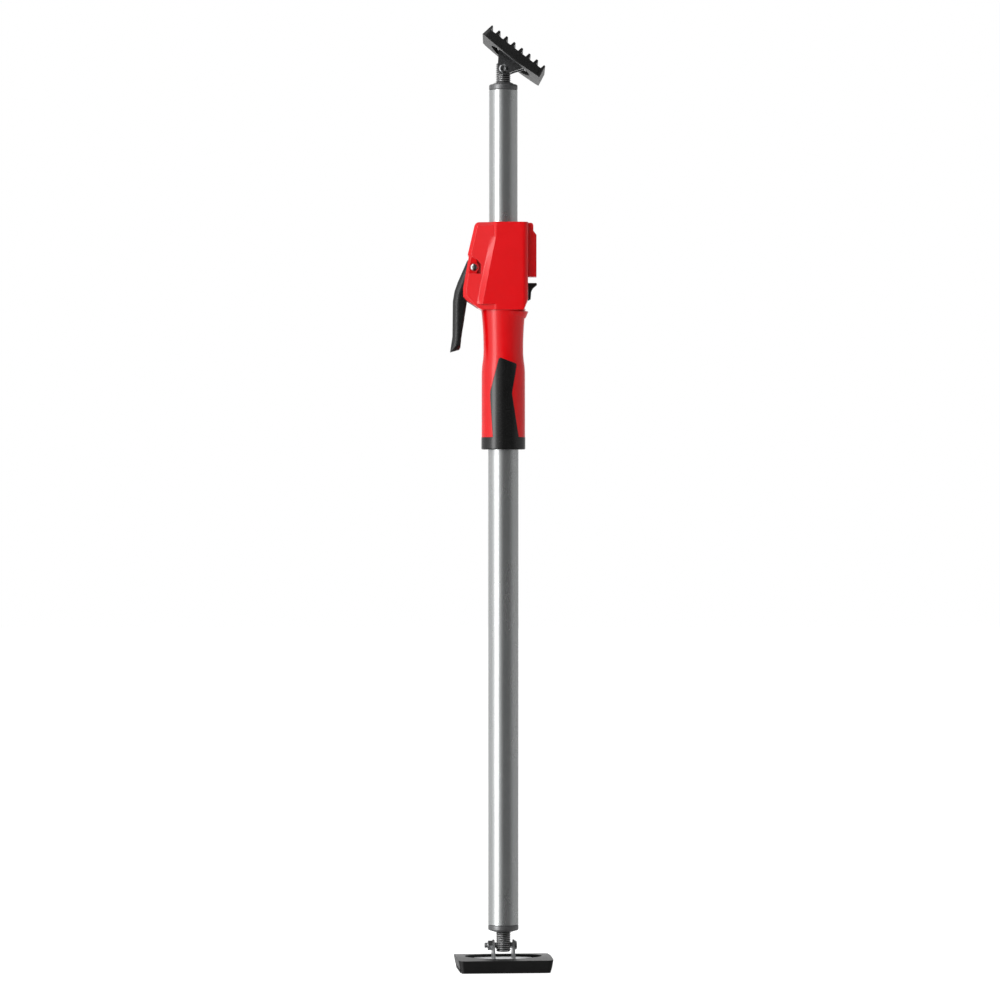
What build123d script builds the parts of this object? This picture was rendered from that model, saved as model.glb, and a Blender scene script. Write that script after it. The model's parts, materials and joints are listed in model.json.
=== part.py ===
from build123d import *
import math
import os

os.makedirs("parts", exist_ok=True)

# Telescopic drywall support: two tubes that slide in each other, a pump handle between them
# and a swivelling rubber pad at each end. Millimetres, Z up, X towards the release trigger,
# -Y towards the viewer. The origin is on the floor under the axis of the tubes.

# Tubes
OUTER_TUBE_OD = 32.0
OUTER_TUBE_WALL = 0.75
OUTER_TUBE_LENGTH = 646.0
INNER_TUBE_OD = 30.0
INNER_TUBE_WALL = 1.0
INNER_TUBE_LENGTH = 706.0
REST_EXTENSION = 135.0
CLOSED_GAP = 4.4

# Fits and clearances
RUNNING_FIT = 0.1
GUIDE_CLEARANCE = 0.15
SEAT_CLEARANCE = 0.05
MOVING_GAP = 0.3
CONTACT_GAP = 0.2

# End plugs and threaded studs
PLUG_FLANGE = 6.0
PLUG_DOME = 1.8
PLUG_COLLAR = 1.2
PLUG_SPIGOT = 20.0
PLUG_LEAD = 1.0
PLUG_ROUNDING = 1.6
STUD_OD = 16.0
STUD_LENGTH = 42.0
STUD_CHAMFER = 1.5
PIVOT_TO_STUD_END = 6.6
PIVOT_TO_PLUG = 13.9

# Pads, brackets and pivot bolts
PAD_LENGTH = 100.0
PAD_WIDTH = 75.0
PAD_HEIGHT = 14.8
PAD_TAPER = 2.5
PAD_CORNER = 4.5
PAD_CORNER_FLARE = 1.0
PAD_ARCH = 1.6
RIDGE_COUNT = 8
RIDGE_PITCH = 9.85
RIDGE_HEIGHT = 4.8
RIDGE_TIP = 2.2
RIDGE_BASE = 3.8
RECESS_LENGTH = 81.0
RECESS_WIDTH = 50.0
RECESS_DEPTH = 5.0
RECESS_END_BOW = 5.0
RECESS_SIDE_BOW = 13.0
PIVOT_ABOVE_RIM = 11.3
SHEET = 2.0
BASE_PLATE_LENGTH = 64.0
BASE_PLATE_WIDTH = 38.0
BASE_PLATE_BOW = 3.0
EAR_SPACING = 19.0
EAR_BASE = 34.0
EAR_TIP_RADIUS = 6.0
EAR_BEND = 1.0
BOLT_D = 6.0
BOLT_HEAD_D = 10.0
BOLT_HEAD_HEIGHT = 2.8
BOLT_HEAD_RIM = 0.6
BOLT_CROWN_D = 6.4
BOLT_CROWN_HEIGHT = 2.1
BOLT_END = 3.4
BOLT_POINT = 0.6
NUT_AF = 10.0
NUT_HEIGHT = 5.0
NUT_CHAMFER_D = 9.4
NUT_CHAMFER = 0.9
FOOT_TURN = 5.0
TOP_TILT = 37.5

# Grip
GRIP_LENGTH = 147.6
GRIP_RADIUS = 22.9
GRIP_TOP_RADIUS = 23.4
GRIP_WAIST_RADIUS = 20.9
WAIST_BELOW_NECK = 42.8
STRAIGHT_BELOW_NECK = 69.8
GRIP_SKIN = 2.8
GRIP_RIB = 3.0
GRIP_POCKETS = 3
LIP_RADIUS = 22.4
LIP_OFFSET = 4.0
LIP_DROP = 2.9
LIP_HEIGHT = 7.0
LIP_TAPER = 3.0
LIP_CROWN = 1.9
LIP_CROWN_TAPER = 4.9
SOFT_RING_HEIGHT = 12.8
SOFT_RING_LIP = 2.4
SOFT_RING_CHAMFER = 0.8
SOFT_THICKNESS = 2.0
SOFT_PROUD = 0.25
TONGUE_ROUND = 2.2
TONGUE_OUTLINE = [
    (-4.3, 96.5),
    (14.1, 89.5),
    (9.0, 58.7),
    (16.2, 12.0),
    (16.2, 6.0),
    (-10.9, 6.0),
    (-10.9, 13.0),
    (-13.6, 53.1),
    (-13.6, 60.6),
]

# Pump housing, outline distances from the tube axis and heights above the neck
HOUSING_HEIGHT = 90.1
HOUSING_SINK = 1.6
HOUSING_HALF_DEPTH = 26.0
HOUSING_WALL = 2.6
HOUSING_RIGHT = 25.9
HOUSING_RIGHT_ROUND = 6.0
HOUSING_TOP_LEFT = 29.4
HOUSING_TOP_ROUND = 5.3
EAR_LEFT_UPPER = 37.4
EAR_LEFT_LOWER = 42.0
EAR_STEP = 1.2
EAR_STEP_RISE = 0.8
EAR_STEP_HEIGHT = 55.2
EAR_LOW_HEIGHT = 21.9
EAR_FOOT_HEIGHT = 8.2
EAR_FOOT_RUN = 3.6
EAR_FOOT_RISE = 4.2
EAR_EDGE = 3.6
SHOULDER_RISE = 9.6
SHOULDER_RUN = 4.4
CREASE_X = 7.6
CREASE_STEP = 1.5
FLANK_ANGLE = 12.0
BEVEL_WIDTH = 6.2
BEVEL_TOP = 15.5
BEVEL_LOWER_X = 22.0
BEVEL_FOOT = 4.0
PANEL_BOTTOM = 36.0
PANEL_RIGHT = 23.6
PANEL_DEEP_HEIGHT = 46.2
PANEL_MID_X = 28.4
PANEL_MID_HEIGHT = 51.8
PANEL_FLOOR = 18.1
SPINE_RIGHT = 34.75
SPINE_TOP_RIGHT = 31.5
SPINE_HALF_WIDTH = 9.0
SPINE_BOTTOM = 33.2
SPINE_SHOULDER = 12.7
SPINE_TOP_STEP = 8.5
SPINE_ROUND = 3.0

# Pump: lever, drive plate and its spring
LEVER_PIN_X = 30.5
LEVER_PIN_HEIGHT = 42.9
LEVER_PIN_D = 5.0
LEVER_PIN_HEAD_D = 7.3
LEVER_PIN_HEAD = 1.8
LEVER_PIN_RIM = 0.5
LEVER_PIN_CROWN_D = 4.6
LEVER_PIN_CROWN = 0.45
LEVER_PIN_RECESS_D = 9.4
LEVER_PIN_RECESS = 0.8
LEVER_WIDTH = 22.0
LEVER_BOSS_RADIUS = 5.6
LEVER_EDGE = 4.2
LEVER_SKIN = 3.0
LEVER_NOSE_ARM = 9.5
LEVER_NOSE_RADIUS = 3.0
LEVER_NOSE_ANGLE = -11.0
LEVER_NOSE_THICKNESS = 4.4
LEVER_RIB = 1.8
LEVER_RIB_HEIGHTS = [8.0, -8.0, -22.0]
LEVER_KNEE_X = 49.0
LEVER_UPPER = 15.0
SLOT_WALL = 2.0

# Lever outlines, distances from the tube axis and heights above the neck
LEVER_OUTLINE = [
    (-36.4, 51.3),
    (-38.0, 50.2),
    (-47.9, 27.5),
    (-51.3, 17.9),
    (-53.0, 7.4),
    (-53.4, -29.3),
    (-55.9, -45.7),
    (-46.4, -43.0),
    (-45.0, -40.6),
    (-44.2, -30.6),
    (-41.3, -12.3),
    (-37.6, 12.0),
    (-33.0, 37.5),
    (-28.0, 41.0),
    (-28.0, 46.0),
    (-32.0, 50.4),
]
LEVER_HOLLOW = [
    (-41.0, 30.0),
    (-46.6, 17.0),
    (-48.4, 6.0),
    (-48.8, -28.0),
    (-49.6, -37.0),
    (-30.0, -35.0),
    (-30.0, 30.0),
]

# Plates and springs of the pump
PLATE = 4.0
PLATE_WIDTH = 34.0
PLATE_BORE_GAP = 0.5
DRIVE_RIGHT = 21.0
DRIVE_TONGUE_END = 24.2
DRIVE_TONGUE_WIDTH = 15.0
DRIVE_PLATE_ROUND = 4.0
DRIVE_WIRE = 2.0
DRIVE_COIL_RADIUS = 17.8
DRIVE_TURNS = 5
DRIVE_STEPS = 16
GUIDE_HEIGHT = 8.0
GUIDE_WALL = 2.8
COLLAR_WALL = 2.2
COLLAR_LEDGE = 2.0
FOOT_BUSH_COLLAR = 5.0
FOOT_BUSH_SPIGOT = 14.0
FOOT_BUSH_WALL = 3.0
DRIVE_FULCRUM_X = 20.0
DRIVE_FULCRUM_WIDTH = 16.0
RIB = 2.0
BULKHEAD = 3.0
BULKHEAD_HEIGHT = 33.2
BULKHEAD_LEFT = 26.0
BULKHEAD_RIGHT = 24.0
CHANNEL_HEIGHT = 54.0
CHANNEL_RIGHT = 22.0
SLOT_RIGHT = 26.6
SLOT_DROP = 1.0

# Brake: clamping plate, its spring and the release trigger
BRAKE_FULCRUM_X = 17.5
BRAKE_HEIGHT = 24.0
BRAKE_TILT = 5.9
BRAKE_REACH = 47.0
BRAKE_TAB_WIDTH = 9.0
BRAKE_HEEL = 0.5
BRAKE_PLATE_ROUND = 3.0
BRAKE_PLATE_MARGIN = 4.6
BRAKE_BORE_GAP = 1.0
BRAKE_WIRE = 1.0
BRAKE_COIL_RADIUS = 2.6
BRAKE_TURNS = 5
BRAKE_STEPS = 8
BRAKE_SPRING_X = 19.7
BRAKE_LEDGE = 4.0
BRAKE_LEDGE_OVERLAP = 3.0
BRAKE_LEDGE_WIDTH = 28.0
TRIGGER_WIDTH = 16.0
TRIGGER_SIDE_GAP = 0.5
TRIGGER_REACH = 35.3
TRIGGER_TOP = 27.0
TRIGGER_BOTTOM = 8.7
TRIGGER_INSET = 1.6
TRIGGER_OUTLINE = [
    (-0.5, 0.0),
    (0.0, -2.1),
    (-3.2, -4.6),
    (-5.4, -7.6),
    (-6.2, -11.9),
    (-6.7, -17.2),
]

# Housing screws, seen from the back
SCREW_D = 3.9
SCREW_LENGTH = 14.0
SCREW_HEAD_D = 7.0
SCREW_HEAD = 2.2
SCREW_SEAT = 6.0
SCREW_WELL_D = 7.6
SCREW_HOLE_GAP = 0.15
SCREW_HOLE_SPARE = 0.5
BOSS_WALL = 1.3
SCREW_POINTS = [(28.6, 74.0), (28.6, 45.0), (-23.5, 74.5), (-23.5, 12.5)]

# A length that reaches past everything in the handle, for cutting tools, and how near an
# edge lies to a face that it counts as part of
PAST = 80.0
NEAR = 0.1

# Heights worked out from the sizes above
PIVOT_HEIGHT = PAD_HEIGHT + PIVOT_ABOVE_RIM
PLUG_BOTTOM = PIVOT_HEIGHT + PIVOT_TO_PLUG
OUTER_BOTTOM = PLUG_BOTTOM + PLUG_DOME + PLUG_FLANGE
NECK = OUTER_BOTTOM + OUTER_TUBE_LENGTH
GRIP_BOTTOM = NECK - GRIP_LENGTH
HOUSING_TOP = NECK + HOUSING_HEIGHT
INNER_TOP = HOUSING_TOP + CLOSED_GAP + REST_EXTENSION
INNER_BOTTOM = INNER_TOP - INNER_TUBE_LENGTH
TOP_PIVOT_HEIGHT = INNER_TOP + PLUG_FLANGE + PLUG_DOME + PIVOT_TO_PLUG
INNER_RADIUS = INNER_TUBE_OD / 2
OUTER_RADIUS = OUTER_TUBE_OD / 2
OUTER_BORE = OUTER_RADIUS - OUTER_TUBE_WALL
INNER_BORE = INNER_RADIUS - INNER_TUBE_WALL
PIN = (-LEVER_PIN_X, NECK + LEVER_PIN_HEIGHT)
NOSE = (
    PIN[0] + LEVER_NOSE_ARM * math.cos(math.radians(LEVER_NOSE_ANGLE)),
    PIN[1] + LEVER_NOSE_ARM * math.sin(math.radians(LEVER_NOSE_ANGLE)),
)
DRIVE_BOTTOM = NOSE[1] + LEVER_NOSE_RADIUS + CONTACT_GAP
GUIDE_BOTTOM = HOUSING_TOP - HOUSING_WALL - GUIDE_HEIGHT
BULKHEAD_BOTTOM = NECK + BULKHEAD_HEIGHT
BULKHEAD_TOP = BULKHEAD_BOTTOM + BULKHEAD
CHANNEL_TOP = NECK + CHANNEL_HEIGHT
FULCRUM = (-BRAKE_FULCRUM_X, NECK + BRAKE_HEIGHT)
SLOT_HALF = LEVER_WIDTH / 2 + MOVING_GAP


def side_face(points):
    """A flat face in the XZ plane from outline points (x, z)."""
    wire = Wire.make_polygon([(x, 0, z) for x, z in points], close=True)
    return Face(wire)


def slab(points, half_width):
    """A solid as wide as twice half_width, centred on the middle plane, from an XZ outline."""
    return extrude(side_face(points), amount=half_width, dir=(0, 1, 0), both=True)


def ring(outer, inner, bottom, top):
    """A straight sleeve round the tube axis."""
    body = Cylinder(outer, top - bottom, align=(Align.CENTER, Align.CENTER, Align.MIN))
    bore = Cylinder(inner, top - bottom, align=(Align.CENTER, Align.CENTER, Align.MIN))
    return Pos(0, 0, bottom) * (body - bore)


def disc(radius, bottom, top, x=0.0):
    """A straight cylinder that stands at x."""
    return Pos(x, 0, bottom) * Cylinder(
        radius, top - bottom, align=(Align.CENTER, Align.CENTER, Align.MIN)
    )


def cross_pin(radius, x, z, y_from, y_to):
    """A cylinder along Y between two depths."""
    middle = Pos(x, (y_from + y_to) / 2, z)
    return middle * Rot(90, 0, 0) * Cylinder(radius, abs(y_to - y_from))


def block(x0, x1, y0, y1, z0, z1):
    """A box given by its two corners."""
    return Pos((x0 + x1) / 2, (y0 + y1) / 2, (z0 + z1) / 2) * Box(x1 - x0, y1 - y0, z1 - z0)


def coil(radius, wire, bottom, top, turns, steps, x=0.0):
    """A compression spring of square wire with its axis upright at x, each turn in straight steps."""
    low = bottom + wire / 2
    rise = (top - bottom - wire) / (turns * steps)
    points = []
    for index in range(turns * steps + 1):
        angle = math.tau * index / steps
        points.append((radius * math.cos(angle), radius * math.sin(angle), low + index * rise))
    path = Polyline(points)
    profile = Plane(origin=path @ 0, z_dir=path % 0) * Rectangle(wire, wire)
    return Pos(x, 0, 0) * sweep(profile, path=path, transition=Transition.RIGHT)


# Tubes, plugs and guides


def tube(od, wall, bottom, length):
    return ring(od / 2, od / 2 - wall, bottom, bottom + length)


def end_plug(tube_radius, tube_bore):
    """Plug with its flange under the origin and its spigot above it, in the tube."""
    stud_bore = STUD_OD / 2 + RUNNING_FIT
    spigot = tube_bore - SEAT_CLEARANCE
    edge = tube_radius - PLUG_ROUNDING
    outline = Polyline(
        (stud_bore, PLUG_SPIGOT),
        (stud_bore, -PLUG_FLANGE - PLUG_DOME),
        (stud_bore + PLUG_COLLAR, -PLUG_FLANGE - PLUG_DOME),
        (edge, -PLUG_FLANGE),
        (tube_radius, PLUG_ROUNDING - PLUG_FLANGE),
        (tube_radius, 0),
        (spigot, 0),
        (spigot, PLUG_SPIGOT - PLUG_LEAD),
        (spigot - PLUG_LEAD, PLUG_SPIGOT),
        close=True,
    )
    return revolve(make_face(Plane.XZ * outline), axis=Axis.Z)


def end_stud():
    """Stud with the pivot at the origin and its end below, cross drilled for the bolt."""
    body = disc(STUD_OD / 2, -PIVOT_TO_STUD_END, STUD_LENGTH - PIVOT_TO_STUD_END)
    body = chamfer(body.edges().filter_by(GeomType.CIRCLE), STUD_CHAMFER)
    hole = Rot(0, 90, 0) * Cylinder(BOLT_D / 2 + RUNNING_FIT, 2 * STUD_OD)
    return body - hole


# Pad set, with the pivot at the origin, the bolt along X and the working face below


def rubber_pad():
    """Moulded rubber pad: straight ridges below, a bowed recess and an arched rim above."""
    face_z = -PIVOT_HEIGHT
    rim_z = -PIVOT_ABOVE_RIM
    foot = Plane.XY.offset(face_z) * RectangleRounded(
        PAD_LENGTH - 2 * PAD_TAPER, PAD_WIDTH - 2 * PAD_TAPER, PAD_CORNER
    )
    rim = Plane.XY.offset(rim_z) * RectangleRounded(
        PAD_LENGTH, PAD_WIDTH, PAD_CORNER + PAD_CORNER_FLARE
    )
    pad = loft([foot, rim], ruled=True)
    half_pitch = RIDGE_PITCH / 2
    floor = face_z + RIDGE_HEIGHT
    groove = Polyline(
        (-half_pitch + RIDGE_TIP / 2, face_z - 1),
        (-half_pitch + RIDGE_TIP / 2, face_z),
        (-half_pitch + RIDGE_BASE / 2, floor),
        (half_pitch - RIDGE_BASE / 2, floor),
        (half_pitch - RIDGE_TIP / 2, face_z),
        (half_pitch - RIDGE_TIP / 2, face_z - 1),
        close=True,
    )
    cutter = extrude(make_face(Plane.YZ * groove), amount=PAD_LENGTH, both=True)
    for index in range(RIDGE_COUNT - 1):
        pad -= Pos(0, (index - RIDGE_COUNT / 2 + 1) * RIDGE_PITCH, 0) * cutter
    arch_radius = (PAD_WIDTH / 2) ** 2 / (2 * PAD_ARCH) + PAD_ARCH / 2
    arch = Pos(0, 0, rim_z - arch_radius) * Rot(0, 90, 0) * Cylinder(arch_radius, 2 * PAD_LENGTH)
    pad &= arch
    hollow = bowed(RECESS_LENGTH, RECESS_WIDTH, RECESS_END_BOW, RECESS_SIDE_BOW)
    return pad - extrude(Plane.XY.offset(rim_z - RECESS_DEPTH) * hollow, amount=2 * RECESS_DEPTH)


def bowed(length, width, end_bow, side_bow):
    """A face whose two ends and two sides bow outwards."""
    x = length / 2 - end_bow
    y = width / 2 - side_bow
    outline = [
        ThreePointArc((-x, -y), (0, -width / 2), (x, -y)),
        ThreePointArc((x, -y), (length / 2, 0), (x, y)),
        ThreePointArc((x, y), (0, width / 2), (-x, y)),
        ThreePointArc((-x, y), (-length / 2, 0), (-x, -y)),
    ]
    return make_face(outline)


def bracket():
    """Pressed steel base plate with two upright ears."""
    seat = -PIVOT_ABOVE_RIM - RECESS_DEPTH
    blank = bowed(BASE_PLATE_LENGTH, BASE_PLATE_WIDTH, BASE_PLATE_BOW, BASE_PLATE_BOW)
    plate = extrude(Plane.XY.offset(seat) * blank, amount=SHEET)
    top = seat + SHEET
    lean = math.asin(EAR_TIP_RADIUS / math.hypot(EAR_BASE / 2, top))
    side = math.atan2(-top, EAR_BASE / 2) + lean
    touch = (EAR_TIP_RADIUS * math.sin(side), EAR_TIP_RADIUS * math.cos(side))
    outline = Polyline((-touch[0], touch[1]), (-EAR_BASE / 2, top), (-EAR_BASE / 2, seat))
    outline += Polyline((-EAR_BASE / 2, seat), (EAR_BASE / 2, seat), (EAR_BASE / 2, top), touch)
    outline += ThreePointArc(touch, (0, EAR_TIP_RADIUS), (-touch[0], touch[1]))
    ear = extrude(make_face(Plane.YZ * outline), amount=SHEET)
    for side_x in (EAR_SPACING / 2, -EAR_SPACING / 2 - SHEET):
        plate += Pos(side_x, 0, 0) * ear
    bend_edges = plate.edges().filter_by(Axis.Y).filter_by(
        lambda e: abs(e.center().Z - top) < NEAR and abs(e.length - EAR_BASE) < NEAR
    )
    plate = fillet(bend_edges, EAR_BEND)
    hole = Rot(0, 90, 0) * Cylinder(BOLT_D / 2 + SEAT_CLEARANCE, 2 * EAR_SPACING)
    return plate - hole


def pivot_bolt():
    """Bolt with a crowned head towards +X."""
    seat = EAR_SPACING / 2 + SHEET
    end = -seat - NUT_HEIGHT - BOLT_END
    radius = BOLT_D / 2
    head = BOLT_HEAD_D / 2
    outline = Polyline(
        (seat + BOLT_HEAD_HEIGHT, 0),
        (end, 0),
        (end, radius - BOLT_POINT),
        (end + BOLT_POINT, radius),
        (seat, radius),
        (seat, head),
        (seat + BOLT_HEAD_RIM, head),
        (seat + BOLT_CROWN_HEIGHT, BOLT_CROWN_D / 2),
        close=True,
    )
    return revolve(make_face(Plane.XZ * outline), axis=Axis.X)


def pivot_nut():
    """Hexagon nut against the outer face of the -X ear, with its outer corners turned off."""
    face = -EAR_SPACING / 2 - SHEET
    blank = extrude(Plane.YZ * RegularPolygon(NUT_AF / 2, 6, major_radius=False), amount=NUT_HEIGHT)
    corner = NUT_AF / 2 / math.cos(math.pi / 6) + RUNNING_FIT
    turned = Polyline(
        (0, 0),
        (0, NUT_CHAMFER_D / 2),
        (NUT_CHAMFER, corner),
        (NUT_HEIGHT, corner),
        (NUT_HEIGHT, 0),
        close=True,
    )
    blank &= revolve(make_face(Plane.XY * turned), axis=Axis.X)
    bore = Rot(0, 90, 0) * Cylinder(BOLT_D / 2 + SEAT_CLEARANCE, 4 * NUT_HEIGHT)
    return Pos(face - NUT_HEIGHT, 0, 0) * (blank - bore)


# Handle shells


def grip_profile(inset):
    """Half section of the grip from its bottom to the neck, as a face beside the tube axis."""
    waist = (GRIP_WAIST_RADIUS - inset, NECK - WAIST_BELOW_NECK)
    swell = (GRIP_RADIUS - inset, NECK - STRAIGHT_BELOW_NECK)
    top = (GRIP_TOP_RADIUS - inset, NECK)
    below = ((waist[0] + swell[0]) / 2, (waist[1] + swell[1]) / 2)
    outline = [
        TangentArc(waist, top, tangent=(0, 1)),
        TangentArc(waist, below, tangent=(0, -1)),
        TangentArc(swell, below, tangent=(0, 1)),
        Polyline(top, (0, NECK), (0, GRIP_BOTTOM), (GRIP_RADIUS - inset, GRIP_BOTTOM), swell),
    ]
    return make_face([Plane.XZ * edge for edge in outline])


def grip_form(inset):
    """The grip as a solid of revolution, smaller all round by inset."""
    return revolve(grip_profile(inset), axis=Axis.Z)


def trigger_lip():
    """Rest for the finger under the trigger, leaning out from the neck on the +X side."""
    lip_top = NECK - LIP_DROP
    cone = Pos(LIP_OFFSET, 0, lip_top - LIP_HEIGHT / 2) * Cone(
        LIP_RADIUS - LIP_TAPER, LIP_RADIUS, LIP_HEIGHT
    )
    crown = Pos(LIP_OFFSET, 0, lip_top + LIP_CROWN / 2) * Cone(
        LIP_RADIUS, LIP_RADIUS - LIP_CROWN_TAPER, LIP_CROWN
    )
    return cone + crown


def housing_outline(inset):
    """Side outline of the pump housing without its spine, moved inwards by inset."""
    top = HOUSING_TOP
    points = [
        (-HOUSING_TOP_LEFT, top),
        (HOUSING_RIGHT, top),
        (HOUSING_RIGHT, NECK + SHOULDER_RISE),
        (HOUSING_RIGHT - SHOULDER_RUN, NECK - HOUSING_SINK),
        (-GRIP_RADIUS, NECK - HOUSING_SINK),
        (-EAR_LEFT_LOWER + EAR_FOOT_RUN, NECK + EAR_FOOT_HEIGHT),
        (-EAR_LEFT_LOWER, NECK + EAR_FOOT_HEIGHT + EAR_FOOT_RISE),
        (-EAR_LEFT_LOWER, NECK + EAR_LOW_HEIGHT),
        (-EAR_LEFT_UPPER + EAR_STEP, NECK + EAR_STEP_HEIGHT - EAR_STEP_RISE),
        (-EAR_LEFT_UPPER, NECK + EAR_STEP_HEIGHT + EAR_STEP_RISE),
    ]
    face = side_face(points)
    top_left = face.vertices().sort_by(Axis.Z)[-2:].sort_by(Axis.X)[0]
    face = fillet(top_left, HOUSING_TOP_ROUND)
    if inset:
        face = offset(face, -inset, kind=Kind.INTERSECTION)
    return face


def flank(inset):
    """What is cut from the front to leave the flank that turns back towards the lever."""
    crease = -CREASE_X
    front = -HOUSING_HALF_DEPTH + inset
    set_back = front + CREASE_STEP
    fall = (PAST - CREASE_STEP) * math.tan(math.radians(FLANK_ANGLE))
    points = [
        (crease, -PAST),
        (crease, front),
        (crease - CREASE_STEP, set_back),
        (crease - PAST, set_back + fall),
        (crease - PAST, -PAST),
    ]
    wire = Wire.make_polygon([(x, y, NECK - PAST) for x, y in points], close=True)
    return extrude(Face(wire), amount=HOUSING_HEIGHT + 2 * PAST, dir=(0, 0, 1))


def flank_depth(x):
    """How far the flank lies from the middle plane at a place left of the crease."""
    return HOUSING_HALF_DEPTH - CREASE_STEP - (-CREASE_X - CREASE_STEP - x) * math.tan(
        math.radians(FLANK_ANGLE)
    )


def raised_front():
    """The front face's left part, with the slanting bevel that drops to the flank."""
    sections = []
    inner = -HOUSING_HALF_DEPTH / 2
    for z, edge in ((HOUSING_TOP - BEVEL_TOP, CREASE_X), (NECK + BEVEL_FOOT, BEVEL_LOWER_X)):
        low = edge + BEVEL_WIDTH
        points = [
            (0, -HOUSING_HALF_DEPTH),
            (-edge, -HOUSING_HALF_DEPTH),
            (-low, -flank_depth(-low)),
            (-low, inner),
            (0, inner),
        ]
        sections.append(Face(Wire.make_polygon([(x, y, z) for x, y in points], close=True)))
    return loft(sections, ruled=True)


def housing_form(inset):
    """Outer form of the pump housing, or its cavity when inset by the wall."""
    half = HOUSING_HALF_DEPTH - inset
    form = extrude(housing_outline(inset), amount=half, dir=(0, 1, 0), both=True)
    right = form.edges().filter_by(Axis.Z).sort_by(Axis.X)[-2:]
    form = fillet(right, max(HOUSING_RIGHT_ROUND - inset, 1.0))
    cut = flank(inset)
    form -= cut
    form -= mirror(cut, Plane.XZ)
    return form


def spine(inset):
    """Block behind the trigger side, narrower than the housing."""
    top = HOUSING_TOP
    points = [
        (0, top - inset),
        (SPINE_TOP_RIGHT - inset, top - inset),
        (SPINE_TOP_RIGHT - inset, top - SPINE_TOP_STEP),
        (SPINE_RIGHT - inset, top - SPINE_SHOULDER),
        (SPINE_RIGHT - inset, NECK + SPINE_BOTTOM + inset),
        (0, NECK + SPINE_BOTTOM + inset),
    ]
    form = slab(points, SPINE_HALF_WIDTH - inset)
    if not inset:
        corner = form.edges().filter_by(Axis.Y).filter_by(
            lambda e: abs(e.center().X - SPINE_TOP_RIGHT) < NEAR and abs(e.center().Z - top) < NEAR
        )
        form = fillet(corner, SPINE_ROUND)
    return form


def ear_pocket():
    """Shallow pocket round the lever pin, open to the left, on one side."""
    points = [
        (-PAST, NECK + EAR_STEP_HEIGHT),
        (-EAR_LEFT_UPPER, NECK + EAR_STEP_HEIGHT),
        (-PANEL_MID_X, NECK + PANEL_MID_HEIGHT),
        (-PANEL_RIGHT, NECK + PANEL_DEEP_HEIGHT),
        (-PANEL_RIGHT, NECK + PANEL_BOTTOM),
        (-PAST, NECK + PANEL_BOTTOM),
    ]
    pocket = extrude(side_face(points), amount=PAST, dir=(0, -1, 0))
    return Pos(0, -PANEL_FLOOR, 0) * pocket


def on_ear_edge(edge):
    """Whether an edge is the ear's left edge on the flank, on either side."""
    middle = edge.center()
    off_flank = abs(abs(middle.Y) - flank_depth(middle.X))
    on_left = middle.X < -HOUSING_TOP_LEFT - HOUSING_TOP_ROUND / 4
    return on_left and off_flank < NEAR and abs(edge.tangent_at(0.5).Y) < 0.5


def outer_form():
    """The whole handle seen from outside: faceted housing, spine, grip and lip."""
    form = housing_form(0)
    form = chamfer(form.edges().filter_by(on_ear_edge), EAR_EDGE)
    front = raised_front() & extrude(
        housing_outline(0), amount=HOUSING_HALF_DEPTH, dir=(0, 1, 0), both=True
    )
    form += front
    form += mirror(front, Plane.XZ)
    pocket = ear_pocket()
    form -= pocket
    form -= mirror(pocket, Plane.XZ)
    form += spine(0)
    return form + (grip_form(0) + trigger_lip())


def lever_slot():
    """Room for the lever between the cheeks of the ear."""
    return block(-PAST, -SLOT_RIGHT, -SLOT_HALF, SLOT_HALF, NECK - HOUSING_SINK - SLOT_DROP, CHANNEL_TOP)


def lever_pin_cut():
    """Bore and counterbores for the lever pin."""
    cut = cross_pin(LEVER_PIN_D / 2 + SEAT_CLEARANCE, *PIN, -PAST, PAST)
    for side in (-1, 1):
        start = side * (PANEL_FLOOR - LEVER_PIN_RECESS)
        cut += cross_pin(LEVER_PIN_RECESS_D / 2, *PIN, start, side * PAST)
    return cut


def screw_boss(x, height, reach):
    """Post round one screw, on both sides of the middle plane."""
    radius = SCREW_WELL_D / 2 + BOSS_WALL
    return cross_pin(radius, x, NECK + height, -reach, reach)


def screw_cut(x, height):
    """Well, clearance hole and pilot hole of one screw."""
    z = NECK + height
    pilot_end = SCREW_SEAT - SCREW_LENGTH - SCREW_HOLE_SPARE
    cut = cross_pin(SCREW_WELL_D / 2, x, z, SCREW_SEAT, PAST)
    cut += cross_pin(SCREW_D / 2 + SCREW_HOLE_GAP, x, z, 0, SCREW_SEAT)
    return cut + cross_pin(SCREW_D / 2 + SEAT_CLEARANCE, x, z, pilot_end, 0)


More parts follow.
